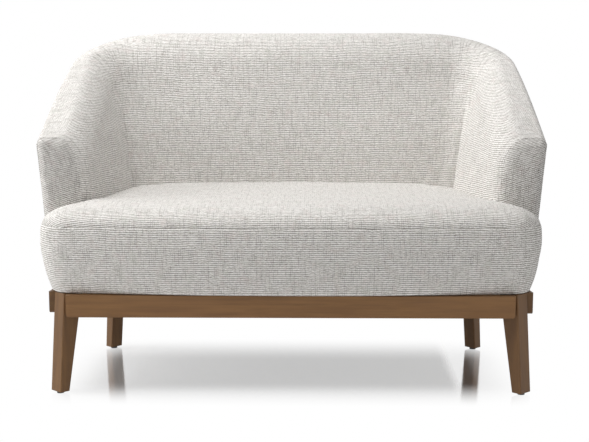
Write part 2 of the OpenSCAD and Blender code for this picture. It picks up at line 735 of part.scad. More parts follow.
// Boards that close the front of each arm, behind the facings
board_side = 9;
module arm_board() {
    high_z = arm_top_z - cap_h - 2 * rail_gap - top_rail_h;
    corners = [
        from_inside(stations, frame_off, shell_rail_top_z),
        from_outside(stations, board_side, shell_rail_top_z),
        from_outside(stations, board_side, high_z),
        from_inside(stations, frame_off, high_z)];
    translate([0, arm_y + arm_board_t, 0]) rotate([90, 0, 0]) linear_extrude(arm_board_t)
        polygon([for (p = corners) [p.x, p.z]]);
}
module right_arm_board() color(beech) arm_board();
module left_arm_board() color(beech) mirror([1, 0, 0]) arm_board();

// Elastic webbing across the inside of the frame
web_t = 1.5;
web_w = 50;
arm_web_count = 2;
back_web_count = 4;
web_gap = 0.5;
function web_rows(i, off, share) = let (z = mix(low_z, top_z(i) - roll_h - web_w, share))
    [for (h = [0, web_w]) from_inside(i, off, z + h)];
module webbing(first, last, count) for (k = [0:count - 1]) between(
    [for (i = [first:last]) web_rows(i, shell_foam_t + web_gap, k / (count - 1))],
    [for (i = [first:last]) web_rows(i, shell_foam_t + web_gap + web_t, k / (count - 1))]);
module back_webbing() color(dark) webbing(back_first, back_last, back_web_count);
module left_arm_webbing() color(dark) webbing(0, arm_last, arm_web_count);
module right_arm_webbing() color(dark) webbing(stations - arm_last, stations, arm_web_count);

// Curved outer panel between the frame and the outside cover
panel_lift = 6;
panel_drop = 2;
panel_low_z = rail_top_z + panel_lift;
panel_rows = 3;
function panel_grid(depth) = [for (i = [0:stations]) [for (k = [0:panel_rows])
    from_outside(i, depth, mix(panel_low_z, top_z(i) - cap_h - panel_drop, k / panel_rows))]];
module outer_panel() color("#b59a72")
    between(panel_grid(cover_t + soft_gap), panel_grid(cover_t + soft_gap + panel_t));

// Foam on the inside of the shell, which also wraps over the top rail
foam_hem = 8;
foam_hem_in = 1;
wrap_w = 24;
wrap_shares = [0.25, 0.5, 0.67, 0.83, 1];
cap_steps = 2;
function foam_front(i) = let (d = cover_t + soft_gap)
    concat(inside_rows(i, d, low_z), edge_rows(i, d), [from_outside(i, d, top_z(i) - cap_h + foam_hem)]);
function foam_back(i) = let (z = top_z(i) - cap_h, d = cover_t + soft_gap) concat(
    [for (k = [0:wall_rows - 1]) from_inside(i, shell_foam_t, mix(low_z, top_z(i) - roll_h, k / wall_rows))],
    [for (k = [0:cap_steps]) from_inside(i, shell_foam_t, mix(top_z(i) - roll_h, z, k / cap_steps))],
    [for (share = wrap_shares) from_inside(i, shell_foam_t + wrap_w * share, z)],
    [from_outside(i, d + foam_hem_in, z)]);
module shell_foam(first, last)
    between([for (i = [first:last]) foam_front(i)], [for (i = [first:last]) foam_back(i)]);
module back_foam() color(foam) shell_foam(back_first, back_last);
module left_arm_foam() color(foam) shell_foam(0, arm_last);
module right_arm_foam() color(foam) shell_foam(stations - arm_last, stations);

// Covers: the inside one wraps over the top edge to the seam, the outside one hangs below it
module inside_cover() color(fabric) between(
    [for (i = [0:stations]) concat(inside_rows(i, 0, low_z), edge_rows(i, 0))],
    [for (i = [0:stations]) concat(inside_rows(i, cover_t, low_z), edge_rows(i, cover_t))]);
outside_rows = 4;
function outside_grid(depth) = [for (i = [0:stations]) [for (k = [0:outside_rows])
    from_outside(i, depth, mix(border_low_z, top_z(i) - edge_r - soft_gap, k / outside_rows))]];
module outside_cover() color(fabric) between(outside_grid(0), outside_grid(cover_t));

// Facings that close the arm fronts
module arm_facing() {
    i = stations;
    hem = frame_inset - soft_gap;
    step_z = frame_top_z + soft_gap;
    outline = concat(
        [from_outside(i, hem, border_low_z), from_outside(i, hem, step_z)],
        [from_inside(i, shell_foam_t, step_z), from_inside(i, shell_foam_t, low_z)],
        inside_rows(i, 0, low_z), edge_rows(i, 0), [from_outside(i, 0, border_low_z)]);
    translate([0, arm_y - soft_gap, 0]) rotate([90, 0, 0]) linear_extrude(facing_t)
        polygon([for (p = outline) [p.x, p.z]]);
}
module right_arm_facing() color(fabric) arm_facing();
module left_arm_facing() color(fabric) mirror([1, 0, 0]) arm_facing();

module shell_bolts() color(steel) at_shell_bolts() {
    translate([0, 0, washer_t]) cylinder(h = head_h, d = head_d, $fn = 6);
    translate([0, 0, bolt_end_gap - shell_bolt_len])
        cylinder(h = shell_bolt_len - bolt_end_gap + washer_t, d = bolt_d, $fn = 24);
}
module shell_bolt_washers() color(steel) at_shell_bolts() difference() {
    cylinder(h = washer_t, d = washer_d, $fn = 32);
    translate([0, 0, -overrun]) cylinder(h = washer_t + 2 * overrun, d = bolt_hole_d, $fn = 24);
}

base_front_rail();
base_left_rail();
base_right_rail();
base_rear_rail();
front_left_leg();
front_right_leg();
rear_left_leg();
rear_right_leg();
front_corner_blocks();
rear_corner_blocks();
leg_bolts();
leg_bolt_washers();
glides();
base_screws();
seat_front_board();
seat_rear_board();
seat_left_board();
seat_right_board();
seat_centre_brace();
seat_gussets();
seat_springs();
spring_clips();
spring_tie_wires();
spring_pad();
seat_foam();
seat_front_pad();
seat_top_cover();
seat_border_cover();
dust_cover();
dust_cover_staples();
shell_bottom_rail();
back_top_rail();
left_arm_top_rail();
right_arm_top_rail();
left_arm_board();
right_arm_board();
corner_posts();
back_posts();
back_webbing();
left_arm_webbing();
right_arm_webbing();
outer_panel();
back_foam();
left_arm_foam();
right_arm_foam();
inside_cover();
outside_cover();
left_arm_facing();
right_arm_facing();
shell_bolts();
shell_bolt_washers();
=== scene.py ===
"""High back settee: woven covers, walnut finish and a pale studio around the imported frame.

Metres, Z up, the front faces -Y. The covers repeat the plan formulas of the CAD source.
"""
import json
import math

import bpy
import numpy as np
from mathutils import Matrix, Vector, noise


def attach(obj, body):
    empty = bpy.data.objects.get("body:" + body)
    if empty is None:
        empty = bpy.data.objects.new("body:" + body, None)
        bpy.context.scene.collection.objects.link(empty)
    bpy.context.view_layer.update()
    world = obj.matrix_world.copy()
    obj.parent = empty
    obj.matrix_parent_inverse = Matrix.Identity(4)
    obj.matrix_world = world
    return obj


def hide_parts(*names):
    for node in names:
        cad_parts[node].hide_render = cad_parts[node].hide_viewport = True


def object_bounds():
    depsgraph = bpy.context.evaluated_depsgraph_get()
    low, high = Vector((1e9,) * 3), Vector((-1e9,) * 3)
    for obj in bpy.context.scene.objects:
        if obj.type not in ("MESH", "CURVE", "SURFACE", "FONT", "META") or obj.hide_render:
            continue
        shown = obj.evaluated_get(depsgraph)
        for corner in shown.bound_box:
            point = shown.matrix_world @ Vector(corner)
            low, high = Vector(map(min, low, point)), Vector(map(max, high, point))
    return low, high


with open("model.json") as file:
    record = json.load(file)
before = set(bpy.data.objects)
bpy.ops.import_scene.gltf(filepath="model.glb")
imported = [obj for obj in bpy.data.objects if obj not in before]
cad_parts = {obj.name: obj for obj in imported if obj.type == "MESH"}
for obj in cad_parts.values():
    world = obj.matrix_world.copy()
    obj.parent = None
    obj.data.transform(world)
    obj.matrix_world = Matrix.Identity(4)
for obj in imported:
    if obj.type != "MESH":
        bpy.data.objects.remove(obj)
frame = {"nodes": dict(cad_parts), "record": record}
cad_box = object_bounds()
nodes = frame["nodes"]

# Shell sizes, as in the CAD source
ARM_IN_HALF = 0.538
ARM_T = 0.102
ARM_LEAN = 0.017
BACK_DRAW_IN = 0.128
BACK_OUT_DRAW_IN = 0.250
BACK_T = 0.104
CORNER_IN_R = 0.070
CORNER_OUT_R = 0.205
SPREAD_IN = 0.044
SPREAD_R_IN = 0.014
SPREAD_OUT = 0.038
BACK_RAKE = math.radians(10.8)
BACK_RAKE_EXTRA = math.radians(3)
ROLL_W = 0.054
ROLL_H = 0.092
EDGE_R = 0.017
RISE_LEN = 0.780
ARM_TOP_Z = 0.640
COVER_T = 0.002
LEVEL_Z = 0.436
UPPER_Z = 0.806
COVER_LOW_Z = 0.432
BACK_TOP_Z = cad_box[1][2]
DEPTH_HALF = 0.385
ARM_Y = -0.199
SHELL_BACK_Y = DEPTH_HALF - (BACK_TOP_Z - EDGE_R - LEVEL_Z) * math.tan(BACK_RAKE)
INSIDE_BACK_Y = SHELL_BACK_Y - BACK_T
ARM_OUT_HALF = ARM_IN_HALF + ARM_T
BACK_IN_HALF = ARM_IN_HALF - BACK_DRAW_IN
BACK_OUT_HALF = ARM_OUT_HALF - BACK_OUT_DRAW_IN

# Seat sizes, as in the CAD source
SEAT_HALF = 0.632
SEAT_FRONT_Y = -0.382
SEAT_BOW = 0.031
SEAT_CORNER_R = 0.082
SEAM_Z = 0.427
CROWN_Z = 0.482
TUCK_Z = 0.454
ARM_LINE_Y = -0.2026
BORDER_LOW_Z = 0.259

# The plan of the shell runs in stations from one arm front to the other
ARM_STEPS = 6
CORNER_STEPS = 8
BACK_STEPS = 5
HALF_STEPS = ARM_STEPS + CORNER_STEPS + BACK_STEPS
STATIONS = 2 * HALF_STEPS
CORNER_LAST = ARM_STEPS + CORNER_STEPS


def mix(a, b, t):
    return a + (b - a) * t


def smooth(t):
    t = min(1.0, max(0.0, t))
    return t * t * (3 - 2 * t)


def tilt(z):
    """Share of the lean and spread of the shell at a height, from none at the seat."""
    return (z - LEVEL_Z) / (UPPER_Z - LEVEL_Z)


def half_plan(front_x, back_y, corner_x, corner_r, k):
    """Point k of half a U-shaped plan, from the arm front at 0 to the middle of the back."""
    centre_y = back_y - corner_r
    reach_x = front_x - corner_x
    reach_y = ARM_Y - centre_y
    start = math.atan2(reach_y, reach_x) + math.acos(corner_r / math.hypot(reach_x, reach_y))
    if k < ARM_STEPS:
        tangent_x = corner_x + corner_r * math.cos(start)
        tangent_y = centre_y + corner_r * math.sin(start)
        return mix(front_x, tangent_x, k / ARM_STEPS), mix(ARM_Y, tangent_y, k / ARM_STEPS)
    if k < CORNER_LAST:
        turn = mix(start, math.pi / 2, (k - ARM_STEPS) / CORNER_STEPS)
        return corner_x + corner_r * math.cos(turn), centre_y + corner_r * math.sin(turn)
    return corner_x * (HALF_STEPS - k) / BACK_STEPS, back_y


def whole_plan(front_x, back_y, corner_x, corner_r, i):
    k = i if i <= HALF_STEPS else STATIONS - i
    x, y = half_plan(front_x, back_y, corner_x, corner_r, k)
    return np.array([-x if i < HALF_STEPS else x, y])


def inner_at(i, z):
    lean = tilt(z)
    return whole_plan(
        ARM_IN_HALF + ARM_LEAN * lean,
        INSIDE_BACK_Y + (z - LEVEL_Z) * math.tan(BACK_RAKE + BACK_RAKE_EXTRA),
        BACK_IN_HALF + SPREAD_IN * lean, CORNER_IN_R + SPREAD_R_IN * lean, i)


def outer_at(i, z):
    lean = tilt(z)
    return whole_plan(
        ARM_OUT_HALF + ARM_LEAN * (z - LEVEL_Z) / (ARM_TOP_Z - LEVEL_Z),
        SHELL_BACK_Y + (z - LEVEL_Z) * math.tan(BACK_RAKE),
        BACK_OUT_HALF + SPREAD_OUT * lean, CORNER_OUT_R, i)


def across(i, z):
    """The inside point, the outside point and the unit vector from the first to the second."""
    a = inner_at(i, z)
    b = outer_at(i, z)
    return a, b, (b - a) / np.linalg.norm(b - a)


def from_inside(i, off, z):
    a, _, way = across(i, z)
    return np.array([*(a + way * off), z])


def from_outside(i, off, z):
    _, b, way = across(i, z)
    return np.array([*(b - way * off), z])


def lengths_along(points):
    """Distance along a line of points from its first point to each."""
    steps = np.linalg.norm(np.diff(points, axis=0), axis=1)
    return np.concatenate([[0.0], np.cumsum(steps)])


def path_lengths(stations, plan, z):
    """Distance along a plan from its first station to each of the others."""
    return lengths_along([plan(i, z) for i in stations])


FINE = 8
FINE_STATIONS = np.linspace(0, STATIONS, STATIONS * FINE + 1)
OUTER_LENGTHS = path_lengths(FINE_STATIONS, outer_at, UPPER_Z)


def top_z(i):
    along = np.interp(i, FINE_STATIONS, OUTER_LENGTHS)
    from_front = min(along, OUTER_LENGTHS[-1] - along)
    return mix(ARM_TOP_Z, BACK_TOP_Z, math.sin(math.pi / 2 * min(1, from_front / RISE_LEN)))


def distance_to(points, line):
    """Distance of each point to the nearest place on a line of points."""
    best = np.full(len(points), np.inf)
    for a, b in zip(line, line[1:]):
        way = b - a
        share = np.clip((points - a) @ way / max(way @ way, 1e-12), 0, 1)
        best = np.minimum(best, np.linalg.norm(points - a - share[:, None] * way, axis=1))
    return best


# Meshes


def new_piece(name, points, faces, uvs, material):
    """A mesh from points, faces and a cloth coordinate in metres for each point."""
    mesh = bpy.data.meshes.new(name)
    mesh.from_pydata([tuple(p) for p in points], [], faces)
    layer = mesh.uv_layers.new(name="cloth")
    for loop in mesh.loops:
        layer.data[loop.index].uv = uvs[loop.vertex_index]
    mesh.polygons.foreach_set("use_smooth", [True] * len(mesh.polygons))
    mesh.update()
    piece = bpy.data.objects.new(name, mesh)
    bpy.context.scene.collection.objects.link(piece)
    mesh.materials.append(material)
    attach(piece, "root")
    return piece


def grid_faces(rows, cols, flip=False):
    faces = []
    for r in range(rows - 1):
        for c in range(cols - 1):
            a = r * cols + c
            quad = (a, a + 1, a + cols + 1, a + cols)
            faces.append(quad[::-1] if flip else quad)
    return faces


def grid_piece(name, grid, uvs, material, flip=False):
    """A cloth cover over a grid of points, with its thickness on the far side of its face."""
    rows, cols = grid.shape[:2]
    piece = new_piece(name, grid.reshape(-1, 3), grid_faces(rows, cols, flip),
                      uvs.reshape(-1, 2), material)
    solid = piece.modifiers.new("thickness", "SOLIDIFY")
    solid.thickness = COVER_T
    solid.offset = -1
    solid.use_even_offset = False
    return piece


# Materials


class Nodes:
    """A small helper that adds and links the shader nodes of one material."""

    def __init__(self, name):
        self.material = bpy.data.materials.new(name)
        self.material.use_nodes = True
        self.tree = self.material.node_tree
        self.tree.nodes.clear()
        self.output = self.tree.nodes.new("ShaderNodeOutputMaterial")
        self.shader = self.add("ShaderNodeBsdfPrincipled")
        self.link(self.shader.outputs[0], self.output.inputs[0])

    def add(self, kind, **settings):
        node = self.tree.nodes.new(kind)
        for key, value in settings.items():
            setattr(node, key, value)
        return node

    def link(self, source, target):
        self.tree.links.new(source, target)

    def put(self, socket, value):
        if isinstance(value, bpy.types.NodeSocket):
            self.link(value, socket)
        else:
            socket.default_value = value

    def math(self, operation, a, b=0.0):
        node = self.add("ShaderNodeMath", operation=operation)
        for socket, value in zip(node.inputs, (a, b)):
            self.put(socket, value)
        return node.outputs[0]

    def times(self, a, b):
        return self.math("MULTIPLY", a, b)

    def vector(self, x, y, z=0.0):
        node = self.add("ShaderNodeCombineXYZ")
        for socket, value in zip(node.inputs, (x, y, z)):
            self.put(socket, value)
        return node.outputs[0]

    def scaled(self, u, v, along_u, along_v):
        return self.vector(self.times(u, along_u), self.times(v, along_v))

    def stretched(self, at, scale):
        node = self.add("ShaderNodeMapping")
        self.link(at, node.inputs[0])
        node.inputs["Scale"].default_value = scale
        return node.outputs[0]

    def noise(self, at, scale, detail=2.0, roughness=0.5):
        node = self.add("ShaderNodeTexNoise")
        self.put(node.inputs["Vector"], at)
        node.inputs["Scale"].default_value = scale
        node.inputs["Detail"].default_value = detail
        node.inputs["Roughness"].default_value = roughness
        return node.outputs["Fac"]

    def remap(self, value, low, high, out_low=0.0, out_high=1.0):
        node = self.add("ShaderNodeMapRange", interpolation_type="SMOOTHSTEP")
        for socket, v in zip(node.inputs, (value, low, high, out_low, out_high)):
            self.put(socket, v)
        return node.outputs[0]

    def blend(self, share, a, b, kind="MIX"):
        node = self.add("ShaderNodeMix", data_type="RGBA", blend_type=kind)
        self.put(node.inputs[0], share)
        self.put(node.inputs[6], a)
        self.put(node.inputs[7], b)
        return node.outputs[2]

    def bump(self, height, distance, strength=1.0, edge_r=0.0):
        node = self.add("ShaderNodeBump")
        self.put(node.inputs["Height"], height)
        if edge_r:
            eased = self.add("ShaderNodeBevel", samples=6)
            eased.inputs["Radius"].default_value = edge_r
            self.link(eased.outputs[0], node.inputs["Normal"])
        node.inputs["Distance"].default_value = distance
        node.inputs["Strength"].default_value = strength
        self.link(node.outputs[0], self.shader.inputs["Normal"])


# The weave
RIB_PITCH = 0.0054
RIB_SWAY = 0.010
RIB_JITTER = 0.0036
WARP_PITCH = 0.0052
WARP_SHARE = 0.42
SLUB_SHARE = 0.45
MOTTLE_SHARE = 0.22
WEAVE_BUMP = 0.0014
YARN_LIGHT = (0.875, 0.855, 0.825)
YARN_DARK = (0.195, 0.168, 0.138)
YARN_PALE = (0.93, 0.91, 0.88, 1)
YARN_PINK = (0.64, 0.52, 0.50, 1)
YARN_GREEN = (0.52, 0.55, 0.47, 1)


def weave(name, line_strength, painted_shade=1.0):
    """Chunky ribbed weave: uneven dark weft lines, fine warp streaks and a soft mottle of yarns.

    Below 1, the last argument is a painted shade: the tone that the cloth falls to as the attribute
    from_turn rises to 1, which draws the arm fronts darker than the lit turn beside them.
    """
    n = Nodes(name)
    cloth = n.add("ShaderNodeUVMap", uv_map="cloth").outputs[0]
    split = n.add("ShaderNodeSeparateXYZ")
    n.link(cloth, split.inputs[0])
    u, v = split.outputs[0], split.outputs[1]
    dark = (*YARN_DARK, 1)

    # Weft ribs with dark grooves between them and pale slubs on them
    sway = n.times(n.math("SUBTRACT", n.noise(cloth, 9.0, 3.0), 0.5), RIB_SWAY)
    jitter = n.times(n.math("SUBTRACT", n.noise(cloth, 150.0), 0.5), RIB_JITTER)
    phase = n.math("DIVIDE", n.math("ADD", n.math("ADD", v, sway), jitter), RIB_PITCH)
    row = n.math("FLOOR", phase)
    wave = n.math("SINE", n.times(phase, 2 * math.pi))
    groove_noise = n.noise(n.scaled(u, row, 70.0, 7.31), 1.0, 4.0, 0.7)
    lines = n.times(n.remap(wave, -0.3, 0.85), n.remap(groove_noise, 0.28, 0.66, 0.55, 1.0))
    slub_noise = n.noise(n.scaled(u, row, 75.0, 3.17), 1.0)
    slubs = n.times(n.remap(wave, 0.2, -0.9), n.remap(slub_noise, 0.45, 0.7))

    # Warp streaks across the ribs
    warp_phase = n.math("ADD", n.math("DIVIDE", u, WARP_PITCH), n.noise(cloth, 60.0))
    streaks = n.noise(n.scaled(u, v, 150.0, 22.0), 1.0, 2.0, 0.6)
    warp = n.remap(n.math("SINE", n.times(warp_phase, 2 * math.pi)), 0.1, 1.0)
    warp = n.times(warp, n.remap(streaks, 0.42, 0.68))
    knots = n.noise(n.scaled(u, v, 210.0, 350.0), 1.0)

    # Colour
    colour = n.blend(n.times(lines, line_strength), (*YARN_LIGHT, 1), dark)
    colour = n.blend(n.times(warp, WARP_SHARE), colour, dark)
    colour = n.blend(n.times(slubs, SLUB_SHARE), colour, YARN_PALE)
    pink = n.remap(n.noise(cloth, 34.0, 3.0, 0.6), 0.5, 0.72, 0.0, MOTTLE_SHARE)
    beside = n.vector(n.math("ADD", u, 3.7), v)
    green = n.remap(n.noise(beside, 29.0, 3.0, 0.6), 0.5, 0.72, 0.0, MOTTLE_SHARE)
    colour = n.blend(pink, colour, YARN_PINK)
    colour = n.blend(green, colour, YARN_GREEN)
    shade = n.math("ADD", n.remap(streaks, 0.25, 0.75, 1.03, 0.95), n.remap(knots, 0.2, 0.8, -0.13, 0.13))
    colour = n.blend(1.0, colour, n.vector(shade, shade, shade), "MULTIPLY")
    # Painted shade: the facing darkens towards the tone given, away from its turn to the inner arm
    if painted_shade < 1:
        away = n.add("ShaderNodeAttribute", attribute_name="from_turn").outputs["Fac"]
        painted_shade_tone = n.remap(away, 0.0, 1.0, 1.0, painted_shade)
        colour = n.blend(1.0, colour, n.vector(painted_shade_tone, painted_shade_tone, painted_shade_tone), "MULTIPLY")
    n.link(colour, n.shader.inputs["Base Color"])
    n.shader.inputs["Roughness"].default_value = 0.92
    n.shader.inputs["Specular IOR Level"].default_value = 0.15
    n.shader.inputs["Sheen Weight"].default_value = 0.2
    n.shader.inputs["Sheen Roughness"].default_value = 0.5

    # Relief
    rise = n.math("SUBTRACT", n.times(knots, 0.6), lines)
    n.bump(n.math("SUBTRACT", rise, n.times(warp, 0.5)), WEAVE_BUMP, 0.7)
    return n.material


# Show wood
WALNUT_DEEP = (0.182, 0.088, 0.031, 1)
WALNUT_WARM = (0.250, 0.127, 0.046, 1)
WALNUT_PORE = (0.100, 0.054, 0.024, 1)
WALNUT_CLOUD = (0.200, 0.098, 0.040, 1)
WORN_EDGE_R = 0.004
EASED_EDGE = 0.0022


def along_grain(axis, along, crosswise):
    """Texture scale that is stretched along one axis."""
    scale = [crosswise] * 3
    scale[axis] = along
    return scale


def walnut(name, axis, painted_shade_tone=1.0):
    """Satin walnut stain with the grain along one axis; a tone below 1 darkens it all as painted shade."""
    n = Nodes(name)
    at = n.add("ShaderNodeTexCoord").outputs["Object"]
    grain = n.noise(n.stretched(at, along_grain(axis, 0.7, 9.0)), 6.0, 6.0, 0.62)
    pores = n.noise(n.stretched(at, along_grain(axis, 5.0, 160.0)), 1.4, 3.0, 0.6)
    clouds = n.noise(at, 5.0)
    colour = n.blend(n.remap(grain, 0.3, 0.7), WALNUT_DEEP, WALNUT_WARM)
    colour = n.blend(n.remap(pores, 0.52, 0.75, 0.0, 0.35), colour, WALNUT_PORE)
    colour = n.blend(n.remap(clouds, 0.4, 0.7, 0.0, 0.3), colour, WALNUT_CLOUD)
    # Painted shade: a tone below 1 darkens the whole stain
    colour = n.blend(1.0, colour, (painted_shade_tone, painted_shade_tone, painted_shade_tone, 1), "MULTIPLY")
    n.link(colour, n.shader.inputs["Base Color"])
    n.put(n.shader.inputs["Roughness"], n.remap(grain, 0.2, 0.8, 0.40, 0.52))
    n.shader.inputs["Specular IOR Level"].default_value = 0.35
    n.bump(n.math("ADD", pores, n.times(grain, 0.3)), 0.0003, 0.35, edge_r=WORN_EDGE_R)
    return n.material


def speckled(name, light, dark, scale, roughness, bump_m, metallic=0.0, stretch=(1, 1, 1)):
    """A plain material with a fine grain: bare wood, foam, felt, cloth, plastic or plated steel."""
    n = Nodes(name)
    at = n.add("ShaderNodeTexCoord").outputs["Object"]
    grain = n.noise(n.stretched(at, stretch), scale, 4.0, 0.6)
    colour = n.blend(n.remap(grain, 0.3, 0.7), (*dark, 1), (*light, 1))
    n.link(colour, n.shader.inputs["Base Color"])
    n.shader.inputs["Roughness"].default_value = roughness
    n.shader.inputs["Metallic"].default_value = metallic
    n.bump(grain, bump_m, 0.5)
    return n.material


# Materials of the CAD nodes, by their slot or by their name
LINE_STRENGTH = 0.84
FACING_LINE_STRENGTH = 0.90
# Painted shade: the arm front facings are drawn darker than the rest of the same cloth
FACING_PAINTED_SHADE = 0.88
# Painted shade: the side rails get a darker copy of the same walnut as the front and back rails
SIDE_RAIL_PAINTED_SHADE = 0.62
# Painted shade: the legs get a darker copy of the same walnut as the front and back rails
LEG_PAINTED_SHADE = 0.74
cover_cloth = weave("cover_weave", LINE_STRENGTH)
facing_cloth_painted_shade = weave("facing_weave_painted_shade", FACING_LINE_STRENGTH, painted_shade=FACING_PAINTED_SHADE)
walnut_along = walnut("walnut_along", 0)
walnut_back_painted_shade = walnut("walnut_back_painted_shade", 1, SIDE_RAIL_PAINTED_SHADE)
walnut_up_painted_shade = walnut("walnut_up_painted_shade", 2, LEG_PAINTED_SHADE)
BY_SLOT = {
    "frame_beech": speckled("beech", (0.72, 0.53, 0.33), (0.60, 0.41, 0.23), 14, 0.6, 0.0002,
                            stretch=(1, 4, 12)),
    "glide_plastic": speckled("glide_black", (0.045, 0.042, 0.040), (0.025, 0.024, 0.023), 300, 0.5, 0.0001),
    "clip_plastic": speckled("clip_black", (0.06, 0.06, 0.06), (0.04, 0.04, 0.04), 300, 0.45, 0.0001),
    "zinc_steel": speckled("zinc", (0.62, 0.63, 0.65), (0.48, 0.49, 0.51), 220, 0.35, 0.0001, 0.9),
    "felt": speckled("felt_pad", (0.33, 0.31, 0.29), (0.20, 0.19, 0.18), 260, 0.95, 0.0008),
    "foam": speckled("seat_foam", (0.88, 0.81, 0.60), (0.77, 0.69, 0.48), 500, 0.9, 0.0006),
    "webbing": speckled("web_black", (0.06, 0.06, 0.06), (0.025, 0.025, 0.025), 400, 0.8, 0.0004),
    "fibre_board": speckled("hardboard", (0.50, 0.35, 0.19), (0.38, 0.25, 0.13), 90, 0.7, 0.0002),
    "dust_cloth": speckled("black_cloth", (0.045, 0.045, 0.045), (0.02, 0.02, 0.02), 350, 0.95, 0.0004),
}
WOOD = {
    "base_front_rail": walnut_along, "base_rear_rail": walnut_along,
    "base_left_rail": walnut_back_painted_shade, "base_right_rail": walnut_back_painted_shade,
    "front_left_leg": walnut_up_painted_shade, "front_right_leg": walnut_up_painted_shade,
    "rear_left_leg": walnut_up_painted_shade, "rear_right_leg": walnut_up_painted_shade,
}


def soften(node):
    """Eases the edges of a show-wood part."""
    eased = node.modifiers.new("eased", "BEVEL")
    eased.width = EASED_EDGE
    eased.segments = 3
    eased.limit_method = "ANGLE"
    eased.angle_limit = math.radians(40)


def finish_nodes():
    """Gives each CAD node its material. The CAD covers, which meshes replace, get the weave."""
    for row in frame["record"]["subparts"]:
        node = nodes[row["node"]]
        material = WOOD.get(row["node"]) or BY_SLOT.get(row["material_slot"]) or cover_cloth
        node.data.materials.clear()
        node.data.materials.append(material)
        if row["node"] in WOOD:
            soften(node)


finish_nodes()

# Shell covers: their rows and stations
SHELL_FINE = 6
FRONT_SHARES = (0, 0.003, 0.008, 0.016, 0.028, 0.044, 0.064, 0.088, 0.116, 0.15)
FRONT_END_SHARE = 0.19
WALL_ROWS = 30
ROLL_ROWS = 16
EDGE_ROWS = 6
OUTSIDE_ROWS = 36
MEASURE_Z = 0.6

# The padded turn between inner arm and arm front
TURN_R = 0.045
TURN_REACH = TURN_R / math.sqrt(2)
SWELL_REACH = 0.26
CLOTH_RISE = 0.17

# The drawn-in creases at the back corners
CREASE_CORNER_SHARE = 0.45
CREASE_AT = ARM_STEPS + CORNER_STEPS * CREASE_CORNER_SHARE
CREASE_DEPTH = 0.017
CREASE_W = 0.028
CREASE_SLOT_W = 0.005
CREASE_SLOT_SHARE = 0.35
CREASE_REACH = 0.3
CREASE_TOP_Z = 0.78
CREASE_FADE = 0.2

# The swell of the back and the slow waves of the padding
BACK_CROWN = 0.006
BACK_CROWN_REACH = 0.25
OUTSIDE_CROWN = 0.0006
OUTSIDE_WAVE_SHARE = 0.8
WAVE_H = 0.0011
WAVE_SCALE = 7.0
QUICK_WAVE_SCALE = 19.0
QUICK_WAVE_SHARE = 0.45
CALM_REACH = 0.04

# The seam at the top of the outside cover and its turned-under hem, as pairs of inward and up
SEAM_GAP = 0.0004
HEM_UP = 0.005
OUTSIDE_HEM = ((0.012, 0.0), (0.005, -0.0005), (0.001, 0.002))


def shell_stations():
    """Stations for the covers, closer together at the arm fronts."""
    front = [ARM_STEPS * s for s in FRONT_SHARES]
    half = front + list(np.linspace(ARM_STEPS * FRONT_END_SHARE, HALF_STEPS, HALF_STEPS * SHELL_FINE))
    return np.array(half + [STATIONS - k for k in half[-2::-1]])


SHELL_STATIONS = shell_stations()
INNER_LENGTHS = path_lengths(SHELL_STATIONS, inner_at, MEASURE_Z)
OUTER_PATH = path_lengths(SHELL_STATIONS, outer_at, MEASURE_Z)
CREASE_LENGTH = np.interp(CREASE_AT, SHELL_STATIONS, INNER_LENGTHS)


def turn(distance):
    """Height of the padded turn between arm front and inner arm, at a distance from its corner."""
    if distance < TURN_REACH:
        return math.sqrt(TURN_R ** 2 - (TURN_REACH - distance) ** 2) - TURN_REACH
    return TURN_R - TURN_REACH


def front_swell(distance):
    """The turn at the arm front, which fades out along the inner arm."""
    return turn(distance) * (1 - smooth((distance - TURN_REACH) / (SWELL_REACH - TURN_REACH)))


def soft_wave(p):
    """Slow unevenness of padding under cloth."""
    slow = noise.noise(Vector(p) * WAVE_SCALE)
    quick = noise.noise(Vector(p) * QUICK_WAVE_SCALE + Vector((5.0, 1.0, 2.0)))
    return WAVE_H * (slow + QUICK_WAVE_SHARE * quick)


def inside_grid():
    """Points and cloth lengths of the inside cover, column by column: wall, top roll and outer edge."""
    grid, uvs = [], []
    total = INNER_LENGTHS[-1]
    for column, i in enumerate(SHELL_STATIONS):
        along = INNER_LENGTHS[column]
        from_front = min(along, total - along)
        swell = front_swell(from_front)
        calm = smooth(from_front / CALM_REACH)
        to_crease = from_front - CREASE_LENGTH
        slot = 1 - math.exp(-abs(to_crease) / CREASE_SLOT_W)
        hollow = 1 - math.exp(-abs(to_crease) / CREASE_W)
        beside_crease = mix(hollow, slot, CREASE_SLOT_SHARE) * math.exp(-(to_crease / CREASE_REACH) ** 2)
        beside_crease *= smooth(from_front / CREASE_REACH)
        high = top_z(i)
        points = []
        for k in range(WALL_ROWS):
            t = k / WALL_ROWS
            z = mix(COVER_LOW_Z, high - ROLL_H, t)
            back_crown = BACK_CROWN * math.sin(math.pi * t) * smooth(to_crease / BACK_CROWN_REACH)
            fold = CREASE_DEPTH * beside_crease * (1 - smooth((z - CREASE_TOP_Z) / CREASE_FADE + 1))
            off = -swell - back_crown - fold
            p = from_inside(i, off, z)
            points.append(from_inside(i, off + soft_wave(p) * calm, z))
        for k in range(ROLL_ROWS + 1):
            a = math.pi / 2 * k / ROLL_ROWS
            fold_here = fold * math.cos(a)
            off = ROLL_W * (1 - math.cos(a)) - (swell + fold_here) * math.cos(a) ** 2
            z = high - ROLL_H + ROLL_H * math.sin(a) + swell * math.cos(a) * math.sin(a)
            p = from_inside(i, off, z)
            wave = soft_wave(p) * calm
            points.append(from_inside(i, off + wave * math.cos(a), z - wave * math.sin(a)))
        for k in range(EDGE_ROWS + 1):
            a = math.pi / 2 * k / EDGE_ROWS
            points.append(from_outside(i, EDGE_R * (1 - math.sin(a)), high - EDGE_R * (1 - math.cos(a))))
        points = np.array(points)
        up = lengths_along(points)
        rise = CLOTH_RISE * max(0.0, CREASE_LENGTH - from_front)
        grid.append(points)
        uvs.append(np.stack([np.full(len(points), along), up - rise], axis=1))
    return np.array(grid), np.array(uvs)


